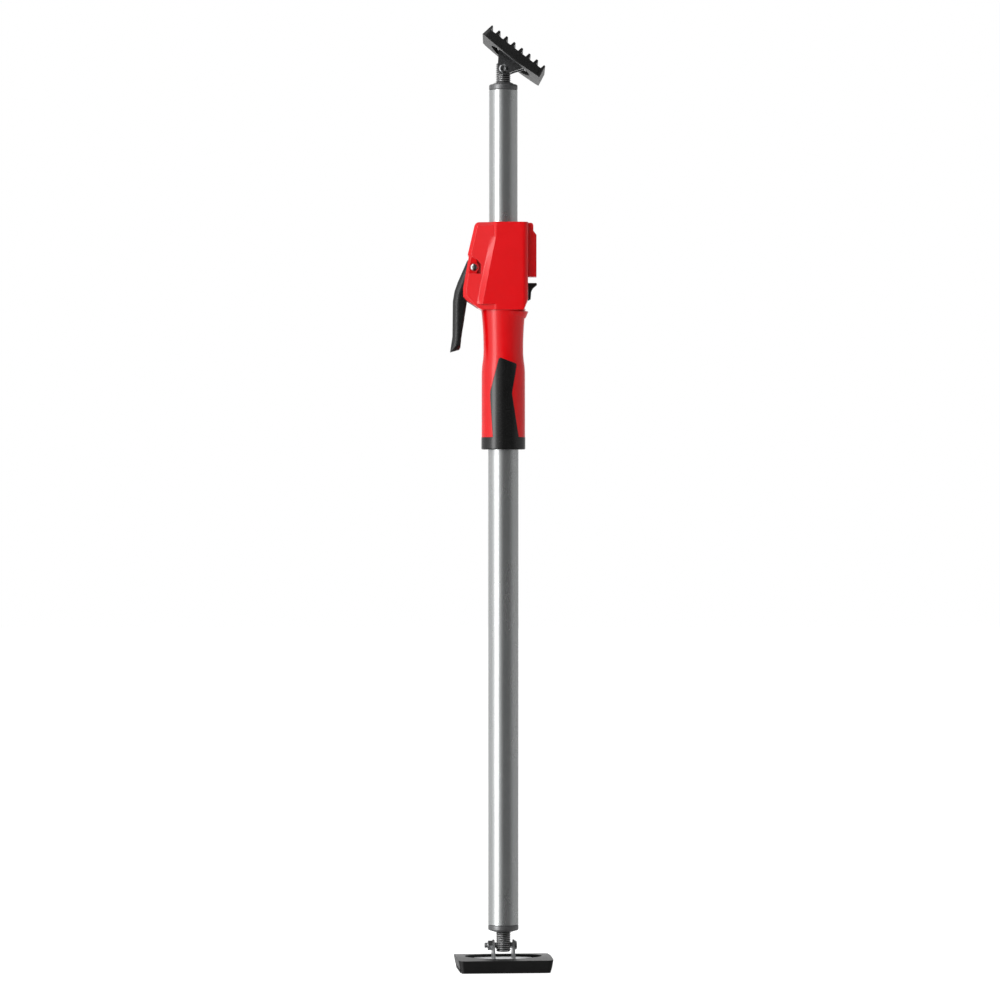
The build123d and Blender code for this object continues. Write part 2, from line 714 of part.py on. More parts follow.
def inner_ribs():
    """Walls, seats and posts inside the housing, before they are trimmed to its form."""
    ribs = block(-BULKHEAD_LEFT, BULKHEAD_RIGHT, -PAST, PAST, BULKHEAD_BOTTOM, BULKHEAD_TOP)
    ribs += disc(INNER_RADIUS + GUIDE_WALL + COLLAR_WALL, GUIDE_BOTTOM - COLLAR_LEDGE, HOUSING_TOP)
    ribs += lever_channel()
    ledge_top = FULCRUM[1] - PLATE / 2 - CONTACT_GAP
    ledge_left = FULCRUM[0] - BRAKE_LEDGE_OVERLAP
    half = BRAKE_LEDGE_WIDTH / 2
    ribs += block(ledge_left, ledge_left + BRAKE_LEDGE, -half, half, NECK - HOUSING_SINK, ledge_top)
    half = DRIVE_FULCRUM_WIDTH / 2
    post_top = DRIVE_BOTTOM - CONTACT_GAP
    ribs += block(DRIVE_FULCRUM_X - RIB / 2, DRIVE_FULCRUM_X + RIB / 2, -half, half, BULKHEAD_TOP, post_top)
    for x, height in SCREW_POINTS:
        reach = SPINE_HALF_WIDTH if x > HOUSING_RIGHT else flank_depth(x)
        ribs += screw_boss(x, height, reach)
    ribs -= disc(INNER_RADIUS + MOVING_GAP, NECK - PAST, HOUSING_TOP + PAST)
    return ribs - disc(OUTER_RADIUS + SEAT_CLEARANCE, GRIP_BOTTOM, NECK)


def lever_channel():
    """Two cheeks and a roof beside the lever, with a boss round the pin in each cheek."""
    roof = CHANNEL_TOP + SLOT_WALL
    wide = SLOT_HALF + SLOT_WALL
    channel = block(-PAST, -CHANNEL_RIGHT, -wide, wide, NECK - HOUSING_SINK, roof)
    channel -= block(-PAST, PAST, -SLOT_HALF, SLOT_HALF, NECK - PAST, CHANNEL_TOP)
    for side in (-1, 1):
        channel += cross_pin(LEVER_PIN_D, *PIN, side * SLOT_HALF, side * PANEL_FLOOR)
    return channel


def soft_tongue():
    """Outline of the soft tongue on the front of the grip, from the ring upwards."""
    face = side_face([(x, GRIP_BOTTOM + height) for x, height in TONGUE_OUTLINE])
    face = fillet(face.vertices().sort_by(Axis.Z)[-4:], TONGUE_ROUND)
    return extrude(face, amount=PAST, dir=(0, -1, 0))


def soft_grip():
    """Soft sleeve: a ring round the bottom of the grip and a tongue up each side."""
    skin = grip_form(-SOFT_PROUD) - grip_form(SOFT_THICKNESS)
    tongue = soft_tongue()
    tongues = skin & (tongue + mirror(tongue, Plane.XZ))
    outer = GRIP_RADIUS + SOFT_PROUD
    sleeve = disc(outer, GRIP_BOTTOM, GRIP_BOTTOM + SOFT_RING_HEIGHT)
    rim = sleeve.edges().filter_by(GeomType.CIRCLE).sort_by(Axis.Z)[0]
    sleeve = chamfer(rim, SOFT_RING_CHAMFER)
    sleeve -= disc(GRIP_RADIUS - SOFT_THICKNESS, GRIP_BOTTOM + SOFT_RING_LIP, NECK)
    sleeve -= disc(OUTER_RADIUS + SEAT_CLEARANCE, GRIP_BOTTOM - PAST, NECK)
    return sleeve + tongues


def grip_cavity():
    """Bore for the outer tube and the pockets between the ribs of the grip."""
    bore = disc(OUTER_RADIUS + SEAT_CLEARANCE, GRIP_BOTTOM - PAST, NECK)
    outer = GRIP_RADIUS - SOFT_THICKNESS - GRIP_SKIN
    start = GRIP_BOTTOM + SOFT_RING_HEIGHT + GRIP_RIB
    pitch = (NECK - STRAIGHT_BELOW_NECK - start) / GRIP_POCKETS
    for index in range(GRIP_POCKETS):
        low = start + index * pitch
        bore += ring(outer, OUTER_RADIUS, low, low + pitch - GRIP_RIB)
    return bore


def handle_form():
    """Both handle shells as one hollow body, before they are split on the middle plane."""
    form = outer_form()
    cavity = housing_form(HOUSING_WALL)
    ribs = inner_ribs() & cavity
    form -= cavity
    form += ribs
    for x, height in SCREW_POINTS:
        form -= screw_cut(x, height)
    form -= lever_slot()
    form -= lever_pin_cut()
    form -= grip_cavity()
    form -= disc(INNER_RADIUS + MOVING_GAP, NECK - PAST, HOUSING_TOP + PAST)
    form -= disc(PAST, GRIP_BOTTOM - PAST, GRIP_BOTTOM + SOFT_RING_LIP)
    form -= disc(INNER_RADIUS + GUIDE_WALL + SEAT_CLEARANCE, GUIDE_BOTTOM, GUIDE_BOTTOM + GUIDE_HEIGHT)
    return form - trigger_window() - soft_grip()


def trigger_window():
    """Opening under the spine for the release trigger and its plate."""
    half = TRIGGER_WIDTH / 2 + TRIGGER_SIDE_GAP
    bottom = NECK + TRIGGER_BOTTOM - HOUSING_WALL
    return block(INNER_RADIUS, PAST, -half, half, bottom, NECK + SPINE_BOTTOM)


def halves(form):
    """The front and back shells."""
    front = form & block(-PAST, PAST, -PAST, 0, GRIP_BOTTOM, HOUSING_TOP + PAST)
    back = form & block(-PAST, PAST, 0, PAST, GRIP_BOTTOM, HOUSING_TOP + PAST)
    return front, back


def housing_screw(x, height):
    """Cheese head screw, entered from the back."""
    z = NECK + height
    body = cross_pin(SCREW_D / 2, x, z, SCREW_SEAT - SCREW_LENGTH, SCREW_SEAT)
    return body + cross_pin(SCREW_HEAD_D / 2, x, z, SCREW_SEAT, SCREW_SEAT + SCREW_HEAD)


# Pump and brake


def lever_pin():
    """Riveted pin with a crowned head on both sides."""
    seat = PANEL_FLOOR - LEVER_PIN_RECESS
    end = seat + LEVER_PIN_HEAD
    head = LEVER_PIN_HEAD_D / 2
    outline = Polyline(
        (0, -end),
        (LEVER_PIN_CROWN_D / 2, -end + LEVER_PIN_CROWN),
        (head, -seat - LEVER_PIN_RIM),
        (head, -seat),
        (LEVER_PIN_D / 2, -seat),
        (LEVER_PIN_D / 2, seat),
        (head, seat),
        (head, seat + LEVER_PIN_RIM),
        (LEVER_PIN_CROWN_D / 2, end - LEVER_PIN_CROWN),
        (0, end),
        close=True,
    )
    pin = revolve(make_face(outline), axis=Axis.Y)
    return Pos(PIN[0], 0, PIN[1]) * pin


def on_lever_back(edge):
    """Whether an edge runs along the lever's outer side, which has broad bevels."""
    middle = edge.center()
    on_side = abs(abs(middle.Y) - LEVER_WIDTH / 2) < NEAR
    outer = middle.X < -LEVER_KNEE_X or middle.Z > NECK + LEVER_UPPER
    return on_side and outer and middle.X < -LEVER_PIN_X - LEVER_NOSE_ARM


def lever():
    """Pump lever: ribbed channel with a boss on the pin and a nose under the drive plate."""
    half = LEVER_WIDTH / 2
    body = slab([(x, NECK + height) for x, height in LEVER_OUTLINE], half)
    body = chamfer(body.edges().filter_by(on_lever_back), LEVER_EDGE)
    hollow = slab([(x, NECK + height) for x, height in LEVER_HOLLOW], half - LEVER_SKIN)
    for height in LEVER_RIB_HEIGHTS:
        middle = NECK + height
        hollow -= block(-PAST, 0, -half, half, middle - LEVER_RIB / 2, middle + LEVER_RIB / 2)
    body -= hollow
    body += cross_pin(LEVER_BOSS_RADIUS, *PIN, -half, half)
    arm = Pos(LEVER_NOSE_ARM / 2, 0, 0) * Box(LEVER_NOSE_ARM, DRIVE_TONGUE_WIDTH, LEVER_NOSE_THICKNESS)
    body += Pos(PIN[0], 0, PIN[1]) * Rot(0, -LEVER_NOSE_ANGLE, 0) * arm
    half_nose = DRIVE_TONGUE_WIDTH / 2
    body += cross_pin(LEVER_NOSE_RADIUS, *NOSE, -half_nose, half_nose)
    return body - cross_pin(LEVER_PIN_D / 2 + RUNNING_FIT, *PIN, -PAST, PAST)


def drive_plate():
    """Hardened plate round the inner tube, with a tongue over the lever's nose."""
    half = PLATE_WIDTH / 2
    left = -half
    plate = block(left, DRIVE_RIGHT, -half, half, 0, PLATE)
    plate = fillet(plate.edges().filter_by(Axis.Z), DRIVE_PLATE_ROUND)
    tongue_half = DRIVE_TONGUE_WIDTH / 2
    plate += block(-DRIVE_TONGUE_END, left + DRIVE_PLATE_ROUND, -tongue_half, tongue_half, 0, PLATE)
    plate -= disc(INNER_RADIUS + PLATE_BORE_GAP, -PLATE, 2 * PLATE)
    return Pos(0, 0, DRIVE_BOTTOM) * plate


def brake_plate_level():
    """Brake plate lying level, with its fulcrum at the origin."""
    half = PLATE_WIDTH / 2
    right = BRAKE_FULCRUM_X + INNER_RADIUS + BRAKE_PLATE_MARGIN
    plate = block(-BRAKE_HEEL, right, -half, half, -PLATE / 2, PLATE / 2)
    plate = fillet(plate.edges().filter_by(Axis.Z), BRAKE_PLATE_ROUND)
    tab = BRAKE_TAB_WIDTH / 2
    plate += block(right - BRAKE_PLATE_ROUND, BRAKE_REACH, -tab, tab, -PLATE / 2, PLATE / 2)
    bore = disc(INNER_RADIUS + BRAKE_BORE_GAP / 2, -PLATE, PLATE, x=BRAKE_FULCRUM_X)
    return plate - bore


def brake_place():
    """Where the brake plate lies at rest, tipped down on the trigger side."""
    return Pos(FULCRUM[0], 0, FULCRUM[1]) * Rot(0, BRAKE_TILT, 0)


def release_trigger():
    """Moulded cap on the end of the brake plate, with a ledge for the finger."""
    inner = HOUSING_RIGHT - TRIGGER_INSET
    top = NECK + TRIGGER_TOP
    bottom = NECK + TRIGGER_BOTTOM
    rim = [(TRIGGER_REACH + x, top + height) for x, height in TRIGGER_OUTLINE]
    outline = [
        Polyline(rim[5], (HOUSING_RIGHT + MOVING_GAP, bottom), (inner, bottom), (inner, top), rim[0]),
        Polyline(rim[0], rim[1], rim[2]),
        ThreePointArc(rim[2], rim[3], rim[4]),
        Line(rim[4], rim[5]),
    ]
    face = make_face([Plane.XZ * edge for edge in outline])
    cap = extrude(face, amount=TRIGGER_WIDTH / 2, both=True)
    return cap - brake_place() * brake_plate_level()


def brake_spring():
    """Small compression spring that pushes the brake plate down beside the tube."""
    reach = BRAKE_SPRING_X + BRAKE_FULCRUM_X
    tilt = math.radians(BRAKE_TILT)
    plate_top = FULCRUM[1] - reach * math.sin(tilt) + PLATE / 2 * math.cos(tilt)
    bottom = plate_top + (BRAKE_COIL_RADIUS + BRAKE_WIRE) * math.sin(tilt) + CONTACT_GAP
    top = BULKHEAD_BOTTOM - SEAT_CLEARANCE
    return coil(BRAKE_COIL_RADIUS, BRAKE_WIRE, bottom, top, BRAKE_TURNS, BRAKE_STEPS, x=BRAKE_SPRING_X)


def drive_spring():
    """Spring round the inner tube that returns the drive plate and the lever."""
    bottom = DRIVE_BOTTOM + PLATE + CONTACT_GAP
    top = GUIDE_BOTTOM - COLLAR_LEDGE - CONTACT_GAP
    return coil(DRIVE_COIL_RADIUS, DRIVE_WIRE, bottom, top, DRIVE_TURNS, DRIVE_STEPS)


def upper_guide_bush():
    return ring(
        INNER_RADIUS + GUIDE_WALL,
        INNER_RADIUS + GUIDE_CLEARANCE,
        GUIDE_BOTTOM,
        GUIDE_BOTTOM + GUIDE_HEIGHT,
    )


def lower_guide_bush():
    """Plastic foot of the inner tube, which runs in the outer tube."""
    bore = INNER_BORE - FOOT_BUSH_WALL
    collar = ring(OUTER_BORE - RUNNING_FIT, bore, INNER_BOTTOM - FOOT_BUSH_COLLAR, INNER_BOTTOM)
    return collar + ring(INNER_BORE - SEAT_CLEARANCE, bore, INNER_BOTTOM, INNER_BOTTOM + FOOT_BUSH_SPIGOT)


def build():
    """Every piece in its place, keyed by the name of its node."""
    foot = Pos(0, 0, PIVOT_HEIGHT) * Rot(0, 0, FOOT_TURN)
    tilt = math.radians(TOP_TILT)
    top = Plane(
        origin=(0, 0, TOP_PIVOT_HEIGHT),
        x_dir=(0, -1, 0),
        z_dir=(-math.sin(tilt), 0, -math.cos(tilt)),
    ).location
    top_stud_place = Pos(0, 0, TOP_PIVOT_HEIGHT) * Rot(0, 0, -90) * Rot(180, 0, 0)
    front, back = halves(handle_form())
    pieces = {
        "outer_tube": tube(OUTER_TUBE_OD, OUTER_TUBE_WALL, OUTER_BOTTOM, OUTER_TUBE_LENGTH),
        "inner_tube": tube(INNER_TUBE_OD, INNER_TUBE_WALL, INNER_BOTTOM, INNER_TUBE_LENGTH),
        "foot_plug": Pos(0, 0, OUTER_BOTTOM) * end_plug(OUTER_RADIUS, OUTER_BORE),
        "top_plug": Pos(0, 0, INNER_TOP) * Rot(180, 0, 0) * end_plug(INNER_RADIUS, INNER_BORE),
        "foot_stud": foot * end_stud(),
        "top_stud": top_stud_place * end_stud(),
        "lower_guide_bush": lower_guide_bush(),
        "upper_guide_bush": upper_guide_bush(),
        "housing_front": front,
        "housing_back": back,
        "soft_grip": soft_grip(),
        "lever": lever(),
        "lever_pin": lever_pin(),
        "drive_plate": drive_plate(),
        "drive_spring": drive_spring(),
        "brake_plate": brake_place() * brake_plate_level(),
        "brake_spring": brake_spring(),
        "release_trigger": release_trigger(),
        "housing_screws": Compound([housing_screw(x, z) for x, z in SCREW_POINTS]),
    }
    for end, place in (("foot", foot), ("top", top)):
        pieces[end + "_rubber_pad"] = place * rubber_pad()
        pieces[end + "_bracket"] = place * bracket()
        pieces[end + "_pivot_bolt"] = place * pivot_bolt()
        pieces[end + "_pivot_nut"] = place * pivot_nut()
    return pieces


for name, piece in build().items():
    export_step(piece, f"parts/{name}.step")
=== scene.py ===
import json
import math

import bmesh
import bpy
from mathutils import Matrix, Vector


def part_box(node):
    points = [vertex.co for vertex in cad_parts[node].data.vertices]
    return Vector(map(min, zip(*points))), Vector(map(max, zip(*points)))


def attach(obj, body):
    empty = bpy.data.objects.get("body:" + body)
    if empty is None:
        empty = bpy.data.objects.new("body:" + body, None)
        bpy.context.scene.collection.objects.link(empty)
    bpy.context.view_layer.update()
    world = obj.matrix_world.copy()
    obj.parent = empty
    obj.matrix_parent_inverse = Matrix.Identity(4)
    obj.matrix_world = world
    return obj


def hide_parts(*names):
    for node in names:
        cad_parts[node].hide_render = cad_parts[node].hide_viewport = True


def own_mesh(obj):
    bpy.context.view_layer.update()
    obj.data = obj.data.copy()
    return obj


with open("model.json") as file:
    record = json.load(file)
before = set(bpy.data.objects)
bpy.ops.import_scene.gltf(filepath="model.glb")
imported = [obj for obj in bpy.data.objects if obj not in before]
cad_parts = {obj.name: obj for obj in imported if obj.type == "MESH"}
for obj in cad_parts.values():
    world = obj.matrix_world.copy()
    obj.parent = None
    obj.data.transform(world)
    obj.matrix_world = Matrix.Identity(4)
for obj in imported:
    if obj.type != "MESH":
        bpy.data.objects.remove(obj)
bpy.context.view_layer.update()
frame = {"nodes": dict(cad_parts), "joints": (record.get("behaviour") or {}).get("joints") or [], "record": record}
NODES = frame["nodes"]
RECORD = frame["record"]
BODY_OF = {node: body for body, nodes in RECORD["behaviour"]["bodies"].items() for node in nodes}
JOINTS = {joint["name"]: joint for joint in frame["joints"]}
ENDS = ("foot", "top")
PIVOTS = {end: JOINTS[end + "_tilt"]["pos_m"] for end in ENDS}

MM = 0.001
SCENE = bpy.context.scene

# Sizes of what is added here, in metres
STUD_PITCH = 2.0 * MM
STUD_THREAD_DEPTH = 1.2 * MM
STUD_CHAMFER = 1.5 * MM
# Inside the first radius the stud's thread is painted with shade, beyond the second with a highlight
STUD_ROOT_SHADE_RADIUS = 7.0 * MM
STUD_CREST_HIGHLIGHT_RADIUS = 7.9 * MM
BOLT_PITCH = 1.0 * MM
BOLT_THREAD_DEPTH = 0.55 * MM
BOLT_THREAD_LENGTH = 3.0 * MM
BOLT_RADIUS = 3.0 * MM
BOLT_HEAD_RADIUS = 5.0 * MM
BOLT_HEAD_HEIGHT = 2.8 * MM
BOLT_HEAD_RIM = 0.6 * MM
SOCKET_WIDTH = 4.0 * MM
SOCKET_DEPTH = 1.7 * MM
SOCKET_LAND = 0.8 * MM
SOCKET_RIM = 0.35 * MM
SOCKET_TIP_RADIUS = 0.3 * MM
SCREW_HEAD_RADIUS = 3.5 * MM
SCREW_HEAD_HEIGHT = 2.2 * MM
SCREW_HEAD_CHAMFER = 0.4 * MM
SCREW_RADIUS = 1.95 * MM
SCREW_THREAD_DEPTH = 0.4 * MM
SCREW_SOCKET_WIDTH = 3.2 * MM
SCREW_SOCKET_DEPTH = 1.3 * MM
SCREW_SOCKET_RIM = 0.25 * MM
PLUG_FLANGE = 6.0 * MM
PLUG_DOME = 1.8 * MM
PLUG_DOME_FOOT = 0.35 * MM
PLUG_COLLAR = 1.2 * MM
PLUG_CORNER = 1.6 * MM
PLUG_SEAM = 0.7 * MM
PLUG_BORE_CLEARANCE = 0.1 * MM
PLUG_BORE_CHAMFER = 0.3 * MM
PLUG_FIT = 0.05 * MM
SPIGOT_CHAMFER = 1.0 * MM
TUBE_WALLS = {"outer_tube": 0.75 * MM, "inner_tube": 1.0 * MM}
TUBE_EDGE = 0.2 * MM

# Steps of what is turned or rounded
TUBE_SEGMENTS = 128
STUD_SEGMENTS = 64
STUD_RINGS_PER_TURN = 10
FASTENER_SEGMENTS = 48
BOLT_HEAD_STEPS = 8
PLUG_CORNER_STEPS = 4

# The stud's thread: how steep its flanks are, and what is left flat on its crest
THREAD_STEEPNESS = 1.35
THREAD_CREST = 0.12

# How much the edges of these CAD nodes are rounded
EDGE_ROUNDING = {
    "foot_rubber_pad": 0.25 * MM,
    "foot_bracket": 0.25 * MM,
    "top_rubber_pad": 0.25 * MM,
    "top_bracket": 0.25 * MM,
    "housing_front": 0.45 * MM,
    "housing_back": 0.45 * MM,
    "soft_grip": 0.4 * MM,
    "release_trigger": 0.4 * MM,
    "lever": 0.3 * MM,
}

# Edges over the first angle are rounded, after faces within the second are joined
EDGE_SEGMENTS = 2
EDGE_ANGLE = 28.0
FLAT_ANGLE = 1.0

# CAD nodes that keep their edges and only take smooth shading
SMOOTH_ANGLE = 35.0
SMOOTH_NODES = (
    "foot_pivot_nut",
    "top_pivot_nut",
    "lever_pin",
    "lower_guide_bush",
    "upper_guide_bush",
    "drive_plate",
    "brake_plate",
    "drive_spring",
)


# Materials

def new_material(name):
    """A material with its node tree and an unset surface shader."""
    material = bpy.data.materials.new(name)
    material.use_nodes = True
    tree = material.node_tree
    tree.nodes.clear()
    out = tree.nodes.new("ShaderNodeOutputMaterial")
    shader = tree.nodes.new("ShaderNodeBsdfPrincipled")
    tree.links.new(shader.outputs["BSDF"], out.inputs["Surface"])
    return material, tree, shader


def object_coords(tree, scale=(1.0, 1.0, 1.0)):
    """The object's own coordinates, stretched where a scale is under 1."""
    coords = tree.nodes.new("ShaderNodeTexCoord")
    mapping = tree.nodes.new("ShaderNodeMapping")
    mapping.inputs["Scale"].default_value = scale
    tree.links.new(coords.outputs["Object"], mapping.inputs["Vector"])
    return mapping.outputs["Vector"]


def noise(tree, vector, scale, detail=3.0):
    """Noise with a number of cells to the metre."""
    node = tree.nodes.new("ShaderNodeTexNoise")
    node.inputs["Scale"].default_value = scale
    node.inputs["Detail"].default_value = detail
    node.inputs["Roughness"].default_value = 0.55
    tree.links.new(vector, node.inputs["Vector"])
    return node.outputs["Fac"]


def ramp(tree, factor, stops):
    """Colour by a factor, from stops of a position and a colour."""
    node = tree.nodes.new("ShaderNodeValToRGB")
    elements = node.color_ramp.elements
    while len(elements) < len(stops):
        elements.new(0.5)
    for element, (position, colour) in zip(elements, stops):
        element.position = position
        element.color = (*colour, 1.0)
    tree.links.new(factor, node.inputs["Fac"])
    return node.outputs["Color"]


def remap(tree, factor, low, high, from_low=0.3, from_high=0.7):
    """A factor stretched from one range to another; noise mostly runs from 0.3 to 0.7."""
    node = tree.nodes.new("ShaderNodeMapRange")
    node.inputs["From Min"].default_value = from_low
    node.inputs["From Max"].default_value = from_high
    node.inputs["To Min"].default_value = low
    node.inputs["To Max"].default_value = high
    tree.links.new(factor, node.inputs["Value"])
    return node.outputs["Result"]


def bump(tree, height, strength, distance, normal=None):
    """Fine relief over a normal, with its depth in metres."""
    node = tree.nodes.new("ShaderNodeBump")
    node.inputs["Strength"].default_value = strength
    node.inputs["Distance"].default_value = distance
    tree.links.new(height, node.inputs["Height"])
    if normal is not None:
        tree.links.new(normal, node.inputs["Normal"])
    return node.outputs["Normal"]


def rounded_normal(tree, radius):
    """Normal that turns softly over an edge, as on a moulding."""
    bevel = tree.nodes.new("ShaderNodeBevel")
    bevel.samples = 6
    bevel.inputs["Radius"].default_value = radius
    return bevel.outputs["Normal"]


def edge_wear(tree, radius):
    """1 at a sharp edge and 0 on a flat face, by how far the bevel node turns the normal."""
    bevel = tree.nodes.new("ShaderNodeBevel")
    bevel.inputs["Radius"].default_value = radius
    geometry = tree.nodes.new("ShaderNodeNewGeometry")
    dot = tree.nodes.new("ShaderNodeVectorMath")
    dot.operation = "DOT_PRODUCT"
    tree.links.new(bevel.outputs["Normal"], dot.inputs[0])
    tree.links.new(geometry.outputs["Normal"], dot.inputs[1])
    return remap(tree, dot.outputs["Value"], 1.0, 0.0, 0.8, 0.99)


def mix_colour(tree, factor, first, second):
    """Blend of two colours, each a tuple or another node's output."""
    node = tree.nodes.new("ShaderNodeMix")
    node.data_type = "RGBA"
    tree.links.new(factor, node.inputs["Factor"])
    for socket, value in ((node.inputs["A"], first), (node.inputs["B"], second)):
        if isinstance(value, tuple):
            socket.default_value = (*value, 1.0)
        else:
            tree.links.new(value, socket)
    return node.outputs["Result"]


def drawn_steel():
    """Satin tube: fine lines along its length, faint clouds and slightly duller patches."""
    material, tree, shader = new_material("drawn_steel")
    along = object_coords(tree, (1.0, 1.0, 0.01))
    lines = noise(tree, along, scale=1300.0, detail=2.0)
    clouds = noise(tree, object_coords(tree, (1.0, 1.0, 0.2)), scale=45.0, detail=4.0)
    colour = ramp(tree, clouds, [(0.3, (0.585, 0.60, 0.60)), (0.7, (0.635, 0.65, 0.65))])
    tree.links.new(colour, shader.inputs["Base Color"])
    shader.inputs["Metallic"].default_value = 0.9
    tree.links.new(remap(tree, clouds, 0.25, 0.29), shader.inputs["Roughness"])
    normal = bump(tree, lines, strength=0.05, distance=0.006 * MM)
    tree.links.new(normal, shader.inputs["Normal"])
    return material


def zinc(name, low, high, roughness):
    """Plated steel with a fine crystalline mottle."""
    material, tree, shader = new_material(name)
    vector = object_coords(tree)
    mottle = noise(tree, vector, scale=900.0, detail=4.0)
    clouds = noise(tree, vector, scale=120.0)
    colour = ramp(tree, clouds, [(0.3, low), (0.7, high)])
    bright = tuple(min(0.9, channel * 1.3) for channel in high)
    worn = mix_colour(tree, edge_wear(tree, 0.3 * MM), colour, bright)
    tree.links.new(worn, shader.inputs["Base Color"])
    shader.inputs["Metallic"].default_value = 1.0
    tree.links.new(remap(tree, mottle, roughness - 0.03, roughness + 0.05), shader.inputs["Roughness"])
    normal = bump(tree, mottle, strength=0.06, distance=0.03 * MM)
    tree.links.new(normal, shader.inputs["Normal"])
    return material


def thread_zinc_painted_shade():
    """Plated thread with painted shade in its roots and a painted highlight on its crests, set by the distance
    from the pole's axis.
    """
    material, tree, shader = new_material("thread_zinc_painted_shade")
    flat = object_coords(tree, (1.0, 1.0, 0.0))
    distance = tree.nodes.new("ShaderNodeVectorMath")
    distance.operation = "LENGTH"
    tree.links.new(flat, distance.inputs[0])
    depth = remap(tree, distance.outputs["Value"], 0.0, 1.0, STUD_ROOT_SHADE_RADIUS, STUD_CREST_HIGHLIGHT_RADIUS)
    mottle = noise(tree, object_coords(tree), scale=700.0)
    # The roots are painted with shade and the crests with a highlight; the flanks keep the plating's grey
    root = (0.13, 0.13, 0.13)
    flank = (0.60, 0.60, 0.60)
    crest = (0.93, 0.935, 0.94)
    colour = ramp(tree, depth, [(0.0, root), (0.55, flank), (1.0, crest)])
    tree.links.new(colour, shader.inputs["Base Color"])
    shader.inputs["Metallic"].default_value = 1.0
    tree.links.new(remap(tree, mottle, 0.42, 0.52), shader.inputs["Roughness"])
    return material


def cast_grey():
    """Sand-textured grey plug."""
    material, tree, shader = new_material("cast_grey")
    vector = object_coords(tree)
    grain = noise(tree, vector, scale=1800.0, detail=4.0)
    clouds = noise(tree, vector, scale=150.0)
    colour = ramp(tree, clouds, [(0.3, (0.19, 0.192, 0.195)), (0.7, (0.25, 0.252, 0.256))])
    worn = mix_colour(tree, edge_wear(tree, 0.4 * MM), colour, (0.42, 0.42, 0.43))
    tree.links.new(worn, shader.inputs["Base Color"])
    shader.inputs["Metallic"].default_value = 0.8
    tree.links.new(remap(tree, grain, 0.32, 0.44), shader.inputs["Roughness"])
    normal = bump(tree, grain, strength=0.3, distance=0.1 * MM)
    tree.links.new(normal, shader.inputs["Normal"])
    return material


def red_moulding():
    """Glossy red moulding with a very fine spark-eroded grain and faint flow clouds."""
    material, tree, shader = new_material("red_moulding")
    vector = object_coords(tree)
    grain = noise(tree, vector, scale=2400.0)
    clouds = noise(tree, vector, scale=45.0)
    colour = ramp(tree, clouds, [(0.3, (0.68, 0.0004, 0.0025)), (0.7, (0.72, 0.0008, 0.0040))])
    worn = mix_colour(tree, edge_wear(tree, 0.5 * MM), colour, (0.66, 0.015, 0.020))
    tree.links.new(worn, shader.inputs["Base Color"])
    tree.links.new(remap(tree, grain, 0.20, 0.26), shader.inputs["Roughness"])
    shader.inputs["Specular IOR Level"].default_value = 0.58
    rounded = rounded_normal(tree, radius=0.8 * MM)
    normal = bump(tree, grain, strength=0.1, distance=0.05 * MM, normal=rounded)
    tree.links.new(normal, shader.inputs["Normal"])
    return material


def black_moulding(name, base, grain_scale, strength, rounding):
    """Black moulding with a leather-like grain and softly rounded edges."""
    material, tree, shader = new_material(name)
    vector = object_coords(tree)
    grain = noise(tree, vector, scale=grain_scale, detail=4.0)
    clouds = noise(tree, vector, scale=60.0)
    low = tuple(channel * 0.8 for channel in base)
    high = tuple(channel * 1.25 for channel in base)
    bright = tuple(channel * 3.0 for channel in base)
    colour = ramp(tree, clouds, [(0.3, low), (0.7, high)])
    worn = mix_colour(tree, edge_wear(tree, 0.5 * MM), colour, bright)
    tree.links.new(worn, shader.inputs["Base Color"])
    tree.links.new(remap(tree, grain, 0.19, 0.29), shader.inputs["Roughness"])
    shader.inputs["Specular IOR Level"].default_value = 0.75
    rounded = rounded_normal(tree, radius=rounding)
    normal = bump(tree, grain, strength=strength, distance=0.12 * MM, normal=rounded)
    tree.links.new(normal, shader.inputs["Normal"])
    return material


def pad_rubber():
    """Moulded rubber: matt black with a faint mottle, a fine grain and lighter edges."""
    material, tree, shader = new_material("pad_rubber")
    vector = object_coords(tree)
    grain = noise(tree, vector, scale=1500.0, detail=4.0)
    clouds = noise(tree, vector, scale=55.0, detail=4.0)
    colour = ramp(tree, clouds, [(0.3, (0.0075, 0.0075, 0.0075)), (0.7, (0.011, 0.011, 0.011))])
    worn = mix_colour(tree, edge_wear(tree, 0.6 * MM), colour, (0.03, 0.03, 0.03))
    tree.links.new(worn, shader.inputs["Base Color"])
    shader.inputs["Specular IOR Level"].default_value = 0.4
    tree.links.new(remap(tree, grain, 0.40, 0.52), shader.inputs["Roughness"])
    rounded = rounded_normal(tree, radius=1.0 * MM)
    normal = bump(tree, grain, strength=0.2, distance=0.1 * MM, normal=rounded)
    tree.links.new(normal, shader.inputs["Normal"])
    return material


def assign(obj, material):
    """Gives an object one material."""
    obj.data.materials.clear()
    obj.data.materials.append(material)


# Mesh helpers

def mesh_object(name, verts, faces, smooth=True):
    """A new object in the scene from corners and faces."""
    mesh = bpy.data.meshes.new(name)
    mesh.from_pydata([tuple(vert) for vert in verts], [], faces)
    mesh.update()
    obj = bpy.data.objects.new(name, mesh)
    SCENE.collection.objects.link(obj)
    if smooth:
        for poly in mesh.polygons:
            poly.use_smooth = True
    return obj


def sharp_by_angle(obj, degrees):
    """Marks edges sharper than an angle, so that smooth shading stops there."""
    mesh = obj.data
    work = bmesh.new()
    work.from_mesh(mesh)
    for edge in work.edges:
        if len(edge.link_faces) == 2:
            edge.smooth = edge.calc_face_angle(0.0) < math.radians(degrees)
    work.to_mesh(mesh)
    work.free()


